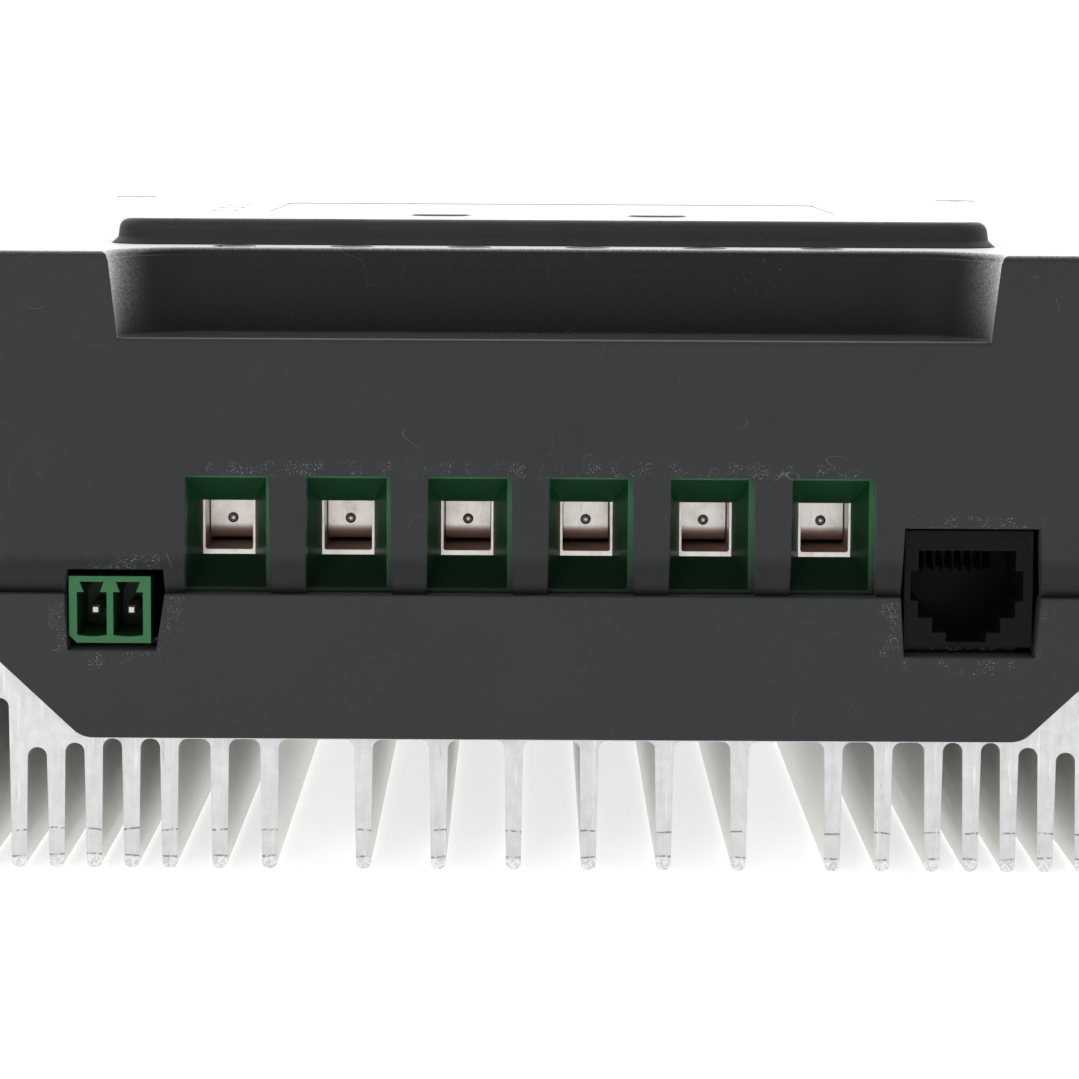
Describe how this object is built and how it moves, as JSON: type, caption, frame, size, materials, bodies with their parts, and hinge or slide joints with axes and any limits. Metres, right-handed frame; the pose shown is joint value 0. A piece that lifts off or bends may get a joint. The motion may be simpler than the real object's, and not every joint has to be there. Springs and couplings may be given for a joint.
{
  "type": "solar charge controller",
  "caption": "Wall-mounted solar charge controller: finned aluminium heatsink, dark plastic cover with a display, screw terminals, sensor header and data socket at one end.",
  "frame": {"origin": "under the middle of the object, in the plane of the fin tips", "axes": "+X along the long side, to the right as seen from the cable end; +Y from the cable end to the far end; +Z out of the wall, towards the display"},
  "size_m": [0.255, 0.185, 0.069],
  "materials": {
    "extruded_aluminium": "mill-finish extrusion with sawn ends",
    "cover_plastic": "fine spark-eroded texture",
    "end_plate_plastic": "fine spark-eroded texture",
    "bezel_plastic": "smooth satin",
    "clear_window": "clear hard-coated",
    "lcd_glass": "reflective liquid-crystal glass",
    "white_plastic": "diffusing white",
    "board_green": "solder-mask laminate",
    "terminal_green": "moulded nylon",
    "header_green": "moulded nylon",
    "tinned_steel": "tin plated",
    "zinc_steel": "zinc plated",
    "black_plastic": "moulded thermoplastic",
    "gold_contact": "gold flashed",
    "button_plastic": "soft-touch moulded",
    "light_pipe": "clear diffusing",
    "ferrite": "sintered and coated",
    "copper_wire": "enamelled copper",
    "can_sleeve": "shrink sleeve",
    "silicone_pad": "soft silicone",
    "shunt_metal": "bare manganin strip",
    "cable_grey": "flexible insulation"
  },
  "bodies": {
    "base": {"heatsink": "extruded_aluminium", "front_cover": "cover_plastic", "cover_screws": "zinc_steel", "terminal_end_plate": "end_plate_plastic", "far_end_plate": "end_plate_plastic", "end_plate_screws": "zinc_steel", "pv_terminal_housing": "terminal_green", "battery_terminal_housing": "terminal_green", "load_terminal_housing": "terminal_green", "sensor_header": "header_green", "sensor_pins": "tinned_steel", "data_jack": "black_plastic", "jack_contacts": "gold_contact", "main_board": "board_green", "board_standoffs": "zinc_steel", "board_screws": "zinc_steel", "inductor_cores": "ferrite", "inductor_windings": "copper_wire", "input_capacitors": "can_sleeve", "output_capacitors": "can_sleeve", "thermal_pads": "silicone_pad", "power_transistors": "black_plastic", "current_shunts": "shunt_metal", "control_chips": "black_plastic", "display_bezel": "bezel_plastic", "display_window": "clear_window", "lcd_panel": "lcd_glass", "backlight": "white_plastic", "display_board": "board_green", "display_screws": "zinc_steel", "tactile_switches": "black_plastic", "indicator_lights": "light_pipe", "cable_connectors": "white_plastic", "display_cable": "cable_grey", "terminal_cage_1": "tinned_steel", "terminal_cage_2": "tinned_steel", "terminal_cage_3": "tinned_steel", "terminal_cage_4": "tinned_steel", "terminal_cage_5": "tinned_steel", "terminal_cage_6": "tinned_steel"},
    "clamp_1": {"clamp_leaf_1": "tinned_steel"},
    "screw_1": {"terminal_screw_1": "zinc_steel"},
    "clamp_2": {"clamp_leaf_2": "tinned_steel"},
    "screw_2": {"terminal_screw_2": "zinc_steel"},
    "clamp_3": {"clamp_leaf_3": "tinned_steel"},
    "screw_3": {"terminal_screw_3": "zinc_steel"},
    "clamp_4": {"clamp_leaf_4": "tinned_steel"},
    "screw_4": {"terminal_screw_4": "zinc_steel"},
    "clamp_5": {"clamp_leaf_5": "tinned_steel"},
    "screw_5": {"terminal_screw_5": "zinc_steel"},
    "clamp_6": {"clamp_leaf_6": "tinned_steel"},
    "screw_6": {"terminal_screw_6": "zinc_steel"},
    "select_key": {"select_button": "button_plastic"},
    "enter_key": {"enter_button": "button_plastic"}
  },
  "joints": [
    {"name": "clamp_travel_1", "type": "slide", "parent": "base", "child": "clamp_1", "axis": [0, 0, 1], "range_m": [-0.0004, 0.0046]},
    {"name": "screw_turn_1", "type": "hinge", "parent": "clamp_1", "child": "screw_1", "pos_m": [-0.0345, -0.0799, 0.04], "axis": [0, 0, 1], "range_deg": [-242, 2762]},
    {"name": "clamp_travel_2", "type": "slide", "parent": "base", "child": "clamp_2", "axis": [0, 0, 1], "range_m": [-0.0004, 0.0046]},
    {"name": "screw_turn_2", "type": "hinge", "parent": "clamp_2", "child": "screw_2", "pos_m": [-0.0218, -0.0799, 0.04], "axis": [0, 0, 1], "range_deg": [-242, 2762]},
    {"name": "clamp_travel_3", "type": "slide", "parent": "base", "child": "clamp_3", "axis": [0, 0, 1], "range_m": [-0.0004, 0.0046]},
    {"name": "screw_turn_3", "type": "hinge", "parent": "clamp_3", "child": "screw_3", "pos_m": [-0.0091, -0.0799, 0.04], "axis": [0, 0, 1], "range_deg": [-242, 2762]},
    {"name": "clamp_travel_4", "type": "slide", "parent": "base", "child": "clamp_4", "axis": [0, 0, 1], "range_m": [-0.0004, 0.0046]},
    {"name": "screw_turn_4", "type": "hinge", "parent": "clamp_4", "child": "screw_4", "pos_m": [0.0036, -0.0799, 0.04], "axis": [0, 0, 1], "range_deg": [-242, 2762]},
    {"name": "clamp_travel_5", "type": "slide", "parent": "base", "child": "clamp_5", "axis": [0, 0, 1], "range_m": [-0.0004, 0.0046]},
    {"name": "screw_turn_5", "type": "hinge", "parent": "clamp_5", "child": "screw_5", "pos_m": [0.0163, -0.0799, 0.04], "axis": [0, 0, 1], "range_deg": [-242, 2762]},
    {"name": "clamp_travel_6", "type": "slide", "parent": "base", "child": "clamp_6", "axis": [0, 0, 1], "range_m": [-0.0004, 0.0046]},
    {"name": "screw_turn_6", "type": "hinge", "parent": "clamp_6", "child": "screw_6", "pos_m": [0.029, -0.0799, 0.04], "axis": [0, 0, 1], "range_deg": [-242, 2762]},
    {"name": "select_press", "type": "slide", "parent": "base", "child": "select_key", "axis": [0, 0, -1], "range_m": [0, 0.0004], "stiffness_N_per_m": 1000, "springref_m": -0.001},
    {"name": "enter_press", "type": "slide", "parent": "base", "child": "enter_key", "axis": [0, 0, -1], "range_m": [0, 0.0004], "stiffness_N_per_m": 1000, "springref_m": -0.001}
  ],
  "couplings": [
    {"joint": "screw_turn_1", "follows": "clamp_travel_1", "rad_per_m": 10472},
    {"joint": "screw_turn_2", "follows": "clamp_travel_2", "rad_per_m": 10472},
    {"joint": "screw_turn_3", "follows": "clamp_travel_3", "rad_per_m": 10472},
    {"joint": "screw_turn_4", "follows": "clamp_travel_4", "rad_per_m": 10472},
    {"joint": "screw_turn_5", "follows": "clamp_travel_5", "rad_per_m": 10472},
    {"joint": "screw_turn_6", "follows": "clamp_travel_6", "rad_per_m": 10472}
  ]
}
